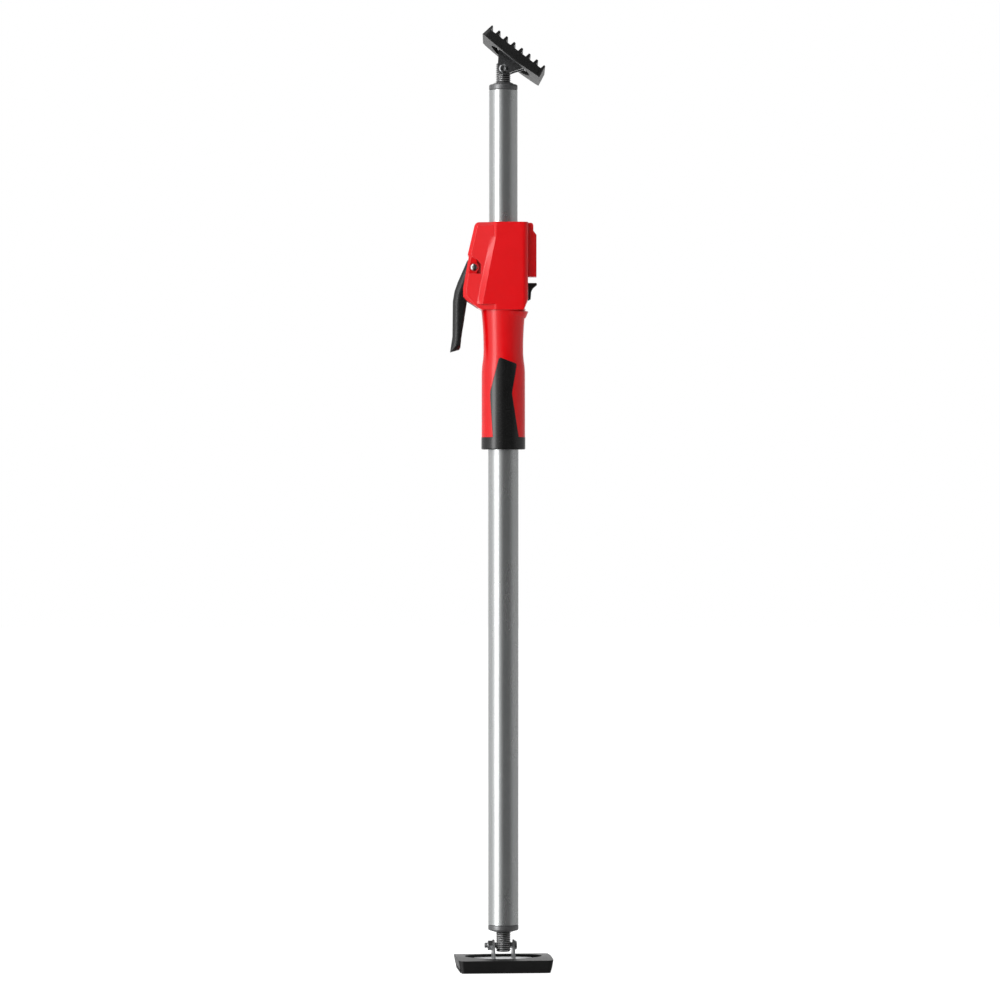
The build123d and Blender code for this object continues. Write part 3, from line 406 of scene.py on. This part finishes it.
def lathe(name, profile):
    """A closed ring of profile points (radius, height) turned round Z."""
    verts = []
    faces = []
    count = len(profile)
    for step in range(TUBE_SEGMENTS):
        angle = 2 * math.pi * step / TUBE_SEGMENTS
        for radius, height in profile:
            verts.append((radius * math.cos(angle), radius * math.sin(angle), height))
    for step in range(TUBE_SEGMENTS):
        following = (step + 1) % TUBE_SEGMENTS
        for index in range(count):
            after = (index + 1) % count
            faces.append((
                step * count + index,
                following * count + index,
                following * count + after,
                step * count + after,
            ))
    return mesh_object(name, verts, faces)


def hexagon(width):
    """Radius of a hexagonal hole at an angle."""
    def radius(angle):
        return width / 2 / math.cos((angle % (math.pi / 3)) - math.pi / 6)
    return radius


def turned(name, rings, place):
    """A solid along Z from rings (height, radius), where a radius may depend on the angle."""
    verts = []
    faces = []
    segments = FASTENER_SEGMENTS
    for height, radius in rings:
        for step in range(segments):
            angle = 2 * math.pi * step / segments
            reach = radius(angle) if callable(radius) else radius
            verts.append(place @ Vector((reach * math.cos(angle), reach * math.sin(angle), height)))
    for ring in range(len(rings) - 1):
        for step in range(segments):
            following = (step + 1) % segments
            low = ring * segments
            faces.append((low + step, low + following, low + segments + following, low + segments + step))
    faces.append(tuple(reversed(range(segments))))
    faces.append(tuple(range((len(rings) - 1) * segments, len(rings) * segments)))
    obj = mesh_object(name, verts, faces)
    sharp_by_angle(obj, degrees=40)
    return obj


def islands(node):
    """The lowest and highest corners of each loose part of a CAD node."""
    work = bmesh.new()
    work.from_mesh(NODES[node].data)
    bmesh.ops.remove_doubles(work, verts=work.verts, dist=0.01 * MM)
    left = set(work.verts)
    boxes = []
    while left:
        queue = [left.pop()]
        part = list(queue)
        while queue:
            for edge in queue.pop().link_edges:
                for vert in edge.verts:
                    if vert in left:
                        left.discard(vert)
                        queue.append(vert)
                        part.append(vert)
        low = Vector(min(vert.co[axis] for vert in part) for axis in range(3))
        high = Vector(max(vert.co[axis] for vert in part) for axis in range(3))
        boxes.append((low, high))
    work.free()
    return boxes


def threaded_rod(name, radius, bottom, top):
    """A stud on the pole's axis with a helical V thread and chamfered ends."""
    segments = STUD_SEGMENTS
    length = top - bottom
    rings = int(length / STUD_PITCH * STUD_RINGS_PER_TURN)
    verts = []
    faces = []
    for ring in range(rings + 1):
        height = length * ring / rings
        end = min(height, length - height)
        for step in range(segments):
            turn = step / segments
            phase = (height / STUD_PITCH - turn) % 1.0
            flank = (1 - abs(2 * phase - 1)) * THREAD_STEEPNESS - THREAD_CREST
            groove = STUD_THREAD_DEPTH * max(0.0, min(1.0, flank))
            reach = min(radius - groove, radius - STUD_CHAMFER + end)
            angle = 2 * math.pi * turn
            verts.append((reach * math.cos(angle), reach * math.sin(angle), bottom + height))
    for ring in range(rings):
        for step in range(segments):
            following = (step + 1) % segments
            faces.append((
                ring * segments + step,
                ring * segments + following,
                (ring + 1) * segments + following,
                (ring + 1) * segments + step,
            ))
    faces.append(tuple(reversed(range(segments))))
    faces.append(tuple(range(rings * segments, (rings + 1) * segments)))
    obj = mesh_object(name, verts, faces)
    sharp_by_angle(obj, degrees=50)
    return obj


def soften(node, width):
    """Rounds the sharp edges of a CAD node that is shown as it is."""
    obj = NODES[node]
    for poly in obj.data.polygons:
        poly.use_smooth = True
    weld = obj.modifiers.new("weld", "WELD")
    weld.merge_threshold = 0.02 * MM
    flat = obj.modifiers.new("flat", "DECIMATE")
    flat.decimate_type = "DISSOLVE"
    flat.angle_limit = math.radians(FLAT_ANGLE)
    bevel = obj.modifiers.new("round", "BEVEL")
    bevel.width = width
    bevel.segments = EDGE_SEGMENTS
    bevel.limit_method = "ANGLE"
    bevel.angle_limit = math.radians(EDGE_ANGLE)
    normals = obj.modifiers.new("normals", "WEIGHTED_NORMAL")
    normals.keep_sharp = True


def shade_smooth(node):
    """Smooth shading of a CAD node's round faces, with its edges kept."""
    obj = NODES[node]
    for poly in obj.data.polygons:
        poly.use_smooth = True
    weld = obj.modifiers.new("weld", "WELD")
    weld.merge_threshold = 0.01 * MM
    split = obj.modifiers.new("split", "EDGE_SPLIT")
    split.split_angle = math.radians(SMOOTH_ANGLE)


# Pieces

def stand_in(obj, node, material):
    """Shows a new piece for a CAD node, on the node's body."""
    assign(obj, material)
    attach(obj, BODY_OF[node])
    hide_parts(node)


def spring_piece(node, name):
    """Copy of a spring on its node's body, shown in place of the CAD node."""
    obj = bpy.data.objects.new(name, NODES[node].data.copy())
    SCENE.collection.objects.link(obj)
    obj.matrix_world = NODES[node].matrix_world.copy()
    sharp_by_angle(obj, degrees=50)
    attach(obj, BODY_OF[node])
    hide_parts(node)
    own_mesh(obj)


def tube_piece(node, name, material):
    """Tube with its wall and broken edges, rounder than the CAD mesh."""
    low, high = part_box(node)
    outer = (high.x - low.x) / 2
    inner = outer - TUBE_WALLS[node]
    profile = [
        (inner, low.z + TUBE_EDGE),
        (inner + TUBE_EDGE, low.z),
        (outer - TUBE_EDGE, low.z),
        (outer, low.z + TUBE_EDGE),
        (outer, high.z - TUBE_EDGE),
        (outer - TUBE_EDGE, high.z),
        (inner + TUBE_EDGE, high.z),
        (inner, high.z - TUBE_EDGE),
    ]
    obj = lathe(name, profile)
    sharp_by_angle(obj, degrees=30)
    stand_in(obj, node, material)


def stud_piece(node, material):
    """Threaded stud in place of its CAD cylinder."""
    low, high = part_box(node)
    radius = (high.x - low.x) / 2
    stand_in(threaded_rod(node + "_thread", radius, low.z, high.z), node, material)


def plug_piece(node, tube, material):
    """Cast end plug with a rounded corner and a fine seam where it meets the tube."""
    low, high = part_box(node)
    tube_low, tube_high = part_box(tube)
    top_end = (low.z + high.z) > (tube_low.z + tube_high.z)
    mouth = tube_high.z if top_end else tube_low.z
    outwards = 1 if top_end else -1
    outer = (tube_high.x - tube_low.x) / 2
    stud_low, stud_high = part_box(node.replace("plug", "stud"))
    bore = (stud_high.x - stud_low.x) / 2 + PLUG_BORE_CLEARANCE
    spigot = outer - TUBE_WALLS[tube] - PLUG_FIT
    depth = (high.z - low.z) - PLUG_FLANGE - PLUG_DOME
    face = PLUG_FLANGE + PLUG_DOME
    shoulder = outer - 2 * PLUG_CORNER
    profile = [
        (bore, -depth),
        (bore, face - PLUG_BORE_CHAMFER),
        (bore + PLUG_BORE_CHAMFER, face),
        (bore + PLUG_COLLAR, face),
        (shoulder, PLUG_FLANGE + PLUG_DOME_FOOT),
    ]
    for step in range(PLUG_CORNER_STEPS + 1):
        angle = math.radians(90 - 90 * step / PLUG_CORNER_STEPS)
        profile.append((
            outer - PLUG_CORNER + PLUG_CORNER * math.cos(angle),
            PLUG_FLANGE - PLUG_CORNER + PLUG_CORNER * math.sin(angle),
        ))
    profile += [
        (outer, PLUG_SEAM),
        (outer - PLUG_SEAM, PLUG_SEAM * 0.5),
        (spigot, 0.0),
        (spigot, -depth + SPIGOT_CHAMFER),
        (spigot - SPIGOT_CHAMFER, -depth),
    ]
    if outwards > 0:
        profile.reverse()
    obj = lathe(node + "_cast", [(radius, mouth + outwards * height) for radius, height in profile])
    sharp_by_angle(obj, degrees=50)
    stand_in(obj, node, material)


def fastener(name, rings, origin, direction, material, node):
    """A turned screw or bolt whose axis runs from an origin in a direction."""
    place = Matrix.Translation(origin) @ direction.to_track_quat("Z", "Y").to_matrix().to_4x4()
    stand_in(turned(name, rings, place), node, material)


def threaded_end(end, length, radius, depth):
    """Rings of a short fine thread that starts at an end."""
    root = radius - depth
    rings = [(end, root)]
    for index in range(int(length / BOLT_PITCH)):
        start = end + (index + 0.25) * BOLT_PITCH
        rings += [(start, radius), (start + BOLT_PITCH * 0.25, radius), (start + BOLT_PITCH * 0.75, root)]
    rings.append((end + length + BOLT_PITCH, radius))
    return rings


def socket_rings(face, width, depth, rim):
    """Rings of a hexagonal socket sunk in a flat face."""
    hole = hexagon(width)
    return [
        (face, width / 2 + rim),
        (face - rim * 0.3, hole),
        (face - depth, hole),
        (face - depth * 1.25, SOCKET_TIP_RADIUS),
    ]


def pivot_bolt_piece(end, material):
    """Button head bolt through a bracket, with a socket in its head and a threaded end."""
    node = end + "_pivot_bolt"
    nut_low, nut_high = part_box(end + "_pivot_nut")
    pivot = Vector(PIVOTS[end])
    along = (pivot - (nut_low + nut_high) / 2).normalized()
    stations = [(vertex.co - pivot).dot(along) for vertex in NODES[node].data.vertices]
    head = max(stations)
    tail = min(stations)
    seat = head - BOLT_HEAD_HEIGHT
    rings = threaded_end(tail, BOLT_THREAD_LENGTH, BOLT_RADIUS, BOLT_THREAD_DEPTH)
    rings += [(seat, BOLT_RADIUS), (seat, BOLT_HEAD_RADIUS), (seat + BOLT_HEAD_RIM, BOLT_HEAD_RADIUS)]
    flat = SOCKET_WIDTH / 2 + SOCKET_LAND
    for step in range(1, BOLT_HEAD_STEPS):
        angle = math.radians(90 * step / BOLT_HEAD_STEPS)
        rings.append((
            seat + BOLT_HEAD_RIM + (BOLT_HEAD_HEIGHT - BOLT_HEAD_RIM) * math.sin(angle),
            flat + (BOLT_HEAD_RADIUS - flat) * math.cos(angle),
        ))
    rings += [(head, flat)]
    rings += socket_rings(head, SOCKET_WIDTH, SOCKET_DEPTH, SOCKET_RIM)
    fastener(node + "_turned", rings, pivot, along, material, node)


def screw_pieces(material):
    """Cheese head screws with sockets, in the wells of the back shell."""
    for index, (low, high) in enumerate(islands("housing_screws")):
        origin = Vector(((low.x + high.x) / 2, high.y, (low.z + high.z) / 2))
        length = high.y - low.y
        threaded = length - SCREW_HEAD_HEIGHT - BOLT_PITCH
        rings = threaded_end(-length, threaded, SCREW_RADIUS, SCREW_THREAD_DEPTH)
        rings += [
            (-SCREW_HEAD_HEIGHT, SCREW_RADIUS),
            (-SCREW_HEAD_HEIGHT, SCREW_HEAD_RADIUS),
            (-SCREW_HEAD_CHAMFER, SCREW_HEAD_RADIUS),
            (0.0, SCREW_HEAD_RADIUS - SCREW_HEAD_CHAMFER),
        ]
        rings += socket_rings(0.0, SCREW_SOCKET_WIDTH, SCREW_SOCKET_DEPTH, SCREW_SOCKET_RIM)
        name = "housing_screw_%d" % index
        fastener(name, rings, origin, Vector((0, 1, 0)), material, "housing_screws")


# Camera, light and floor

POLE_MIDDLE = 0.5
CAMERA_DISTANCE = 4.5
CAMERA_X = -0.0035
CAMERA_Z = 0.4933
FOCAL_PIXELS = 4286.0
IMAGE_PIXELS = 1000.0
SENSOR = 36.0
CAMERA_REACH = 100.0


def make_camera():
    """Camera level with the pole's middle, at the photo's angle."""
    data = bpy.data.cameras.new("camera")
    data.sensor_width = SENSOR
    data.lens = SENSOR * FOCAL_PIXELS / IMAGE_PIXELS
    data.clip_end = CAMERA_REACH
    camera = bpy.data.objects.new("camera", data)
    camera.location = (CAMERA_X, -CAMERA_DISTANCE, CAMERA_Z)
    camera.rotation_euler = (math.radians(90), 0, 0)
    SCENE.collection.objects.link(camera)
    SCENE.camera = camera


def area_light(name, azimuth, height, distance, width, length, power):
    """A soft box at an azimuth from the front (negative to the left), aimed at the pole.

    It makes no highlights of its own: those come from the world's bright bands.
    """
    data = bpy.data.lights.new(name, "AREA")
    data.shape = "RECTANGLE"
    data.size = width
    data.size_y = length
    data.energy = power
    angle = math.radians(azimuth)
    light = bpy.data.objects.new(name, data)
    light.location = (distance * math.sin(angle), -distance * math.cos(angle), height)
    aim = Vector((0, 0, POLE_MIDDLE)) - light.location
    light.rotation_euler = aim.to_track_quat("-Z", "Y").to_euler()
    light.visible_camera = False
    light.visible_glossy = False
    SCENE.collection.objects.link(light)


# The object sees these greys round the horizon (degrees from the front, left is negative), and
# this share of them by the sine of the height. The peak is a tall soft box at the front left.
STUDIO_PEAK = 4.3
STUDIO_BANDS = [
    (-180, 1.4),
    (-168, 1.3),
    (-152, 0.62),
    (-100, 0.58),
    (-76, 0.95),
    (-66, 1.2),
    (-58, STUDIO_PEAK),
    (-46, STUDIO_PEAK),
    (-38, 0.8),
    (-24, 0.5),
    (-10, 0.16),
    (0, 0.06),
    (48, 0.09),
    (80, 0.34),
    (152, 0.40),
    (168, 1.3),
    (180, 1.4),
]
STUDIO_LEVELS = [(-1.0, 0.15), (-0.65, 0.2), (-0.42, 1.0), (0.35, 1.0), (0.6, 0.9), (1.0, 1.0)]


def make_world():
    """White studio for the camera, grey bands of light for everything else."""
    world = bpy.data.worlds.new("studio")
    SCENE.world = world
    world.use_nodes = True
    tree = world.node_tree
    tree.nodes.clear()
    out = tree.nodes.new("ShaderNodeOutputWorld")
    coords = tree.nodes.new("ShaderNodeTexCoord")
    split = tree.nodes.new("ShaderNodeSeparateXYZ")
    tree.links.new(coords.outputs["Generated"], split.inputs["Vector"])
    angle = tree.nodes.new("ShaderNodeMath")
    angle.operation = "ARCTAN2"
    minus = tree.nodes.new("ShaderNodeMath")
    minus.operation = "MULTIPLY"
    minus.inputs[1].default_value = -1.0
    tree.links.new(split.outputs["Y"], minus.inputs[0])
    tree.links.new(split.outputs["X"], angle.inputs[0])
    tree.links.new(minus.outputs["Value"], angle.inputs[1])
    around = remap(tree, angle.outputs["Value"], 0.0, 1.0, -math.pi, math.pi)
    stops = []
    for azimuth, grey in STUDIO_BANDS:
        stops.append(((azimuth + 180) / 360, (grey / STUDIO_PEAK,) * 3))
    bands = ramp(tree, around, stops)
    tilt = remap(tree, split.outputs["Z"], 0.0, 1.0, -1.0, 1.0)
    fall = ramp(tree, tilt, [((sine + 1) / 2, (grey,) * 3) for sine, grey in STUDIO_LEVELS])
    shade = tree.nodes.new("ShaderNodeMix")
    shade.data_type = "RGBA"
    shade.blend_type = "MULTIPLY"
    shade.inputs["Factor"].default_value = 1.0
    tree.links.new(bands, shade.inputs["A"])
    tree.links.new(fall, shade.inputs["B"])
    studio = tree.nodes.new("ShaderNodeBackground")
    tree.links.new(shade.outputs["Result"], studio.inputs["Color"])
    studio.inputs["Strength"].default_value = STUDIO_PEAK
    white = tree.nodes.new("ShaderNodeBackground")
    white.inputs["Color"].default_value = (1, 1, 1, 1)
    white.inputs["Strength"].default_value = 1.0
    path = tree.nodes.new("ShaderNodeLightPath")
    seen = tree.nodes.new("ShaderNodeMath")
    seen.operation = "MAXIMUM"
    tree.links.new(path.outputs["Is Camera Ray"], seen.inputs[0])
    tree.links.new(path.outputs["Is Transmission Ray"], seen.inputs[1])
    both = tree.nodes.new("ShaderNodeMixShader")
    tree.links.new(seen.outputs["Value"], both.inputs["Fac"])
    tree.links.new(studio.outputs["Background"], both.inputs[1])
    tree.links.new(white.outputs["Background"], both.inputs[2])
    tree.links.new(both.outputs["Shader"], out.inputs["Surface"])


# Share of the floor that takes light and shadow, and the glow that keeps the rest white
FLOOR_SHADE = 0.35
FLOOR_GLOW = 0.93
FLOOR_GREY = 0.85
FLOOR_REACH = 12.0
FLOOR_DROP = 0.5 * MM


def make_floor():
    """Pale floor that keeps a faint shadow and is white where the camera looks."""
    corners = ((-1, -1), (1, -1), (1, 1), (-1, 1))
    verts = [(FLOOR_REACH * across, FLOOR_REACH * away, 0) for across, away in corners]
    obj = mesh_object("floor", verts, [(0, 1, 2, 3)], smooth=False)
    obj.location.z = -FLOOR_DROP
    material = bpy.data.materials.new("floor_white")
    material.use_nodes = True
    tree = material.node_tree
    tree.nodes.clear()
    out = tree.nodes.new("ShaderNodeOutputMaterial")
    diffuse = tree.nodes.new("ShaderNodeBsdfDiffuse")
    diffuse.inputs["Color"].default_value = (FLOOR_GREY, FLOOR_GREY, FLOOR_GREY, 1)
    glow = tree.nodes.new("ShaderNodeEmission")
    glow.inputs["Color"].default_value = (1, 1, 1, 1)
    glow.inputs["Strength"].default_value = FLOOR_GLOW / (1 - FLOOR_SHADE)
    path = tree.nodes.new("ShaderNodeLightPath")
    share = tree.nodes.new("ShaderNodeMath")
    share.operation = "MULTIPLY"
    share.inputs[1].default_value = 1 - FLOOR_SHADE
    tree.links.new(path.outputs["Is Camera Ray"], share.inputs[0])
    mix = tree.nodes.new("ShaderNodeMixShader")
    tree.links.new(share.outputs["Value"], mix.inputs["Fac"])
    tree.links.new(diffuse.outputs["BSDF"], mix.inputs[1])
    tree.links.new(glow.outputs["Emission"], mix.inputs[2])
    tree.links.new(mix.outputs["Shader"], out.inputs["Surface"])
    obj.data.materials.append(material)
    obj.visible_glossy = False


SCENE.view_settings.view_transform = "Standard"
make_camera()
make_world()
make_floor()
area_light("key_left", azimuth=-52, height=0.9, distance=2.6, width=0.6, length=2.4, power=16)
area_light("front_soft", azimuth=-10, height=1.9, distance=3.4, width=1.6, length=1.6, power=25)
area_light("back_right", azimuth=140, height=1.6, distance=2.8, width=1.2, length=1.8, power=22)
area_light("back_left", azimuth=-150, height=1.6, distance=2.8, width=1.2, length=1.8, power=22)

STEEL = drawn_steel()
ZINC = zinc("bright_zinc", low=(0.36, 0.364, 0.37), high=(0.45, 0.455, 0.46), roughness=0.22)
# A paler, rougher copy of the plated zinc, with painted light, for the foot bracket; the top bracket keeps the
# darker zinc
FOOT_ZINC_PAINTED_LIGHT = zinc("foot_zinc_painted_light", low=(0.44, 0.445, 0.45), high=(0.54, 0.545, 0.55), roughness=0.40)
THREAD_PAINTED_SHADE = thread_zinc_painted_shade()
DARK_STEEL = zinc("oiled_steel", low=(0.20, 0.20, 0.205), high=(0.30, 0.30, 0.305), roughness=0.28)
PLUG = cast_grey()
RED = red_moulding()
SOFT = black_moulding("soft_black", base=(0.005, 0.005, 0.005), grain_scale=1300.0, strength=0.08,
                      rounding=0.6 * MM)
BLACK = black_moulding("black_moulding", base=(0.006, 0.006, 0.006), grain_scale=1600.0, strength=0.10,
                       rounding=4.5 * MM)
RUBBER = pad_rubber()

MATERIAL_OF_SLOT = {
    "tube_steel": STEEL,
    "cast_plug": PLUG,
    "zinc_steel": ZINC,
    "pad_rubber": RUBBER,
    "red_housing": RED,
    "soft_black": SOFT,
    "black_moulding": BLACK,
    "guide_plastic": BLACK,
    "plate_steel": DARK_STEEL,
    "spring_steel": DARK_STEEL,
}
for part in RECORD["subparts"]:
    assign(NODES[part["node"]], MATERIAL_OF_SLOT[part["material_slot"]])
# The foot bracket takes the zinc copy that is painted lighter
assign(NODES["foot_bracket"], FOOT_ZINC_PAINTED_LIGHT)

tube_piece("outer_tube", "lower_tube", STEEL)
tube_piece("inner_tube", "upper_tube", STEEL)
plug_piece("foot_plug", "outer_tube", PLUG)
plug_piece("top_plug", "inner_tube", PLUG)
for end in ENDS:
    stud_piece(end + "_stud", THREAD_PAINTED_SHADE)
    pivot_bolt_piece(end, ZINC)
screw_pieces(ZINC)
spring_piece("brake_spring", "brake_coil")

for node, width in EDGE_ROUNDING.items():
    soften(node, width)
for node in SMOOTH_NODES:
    shade_smooth(node)
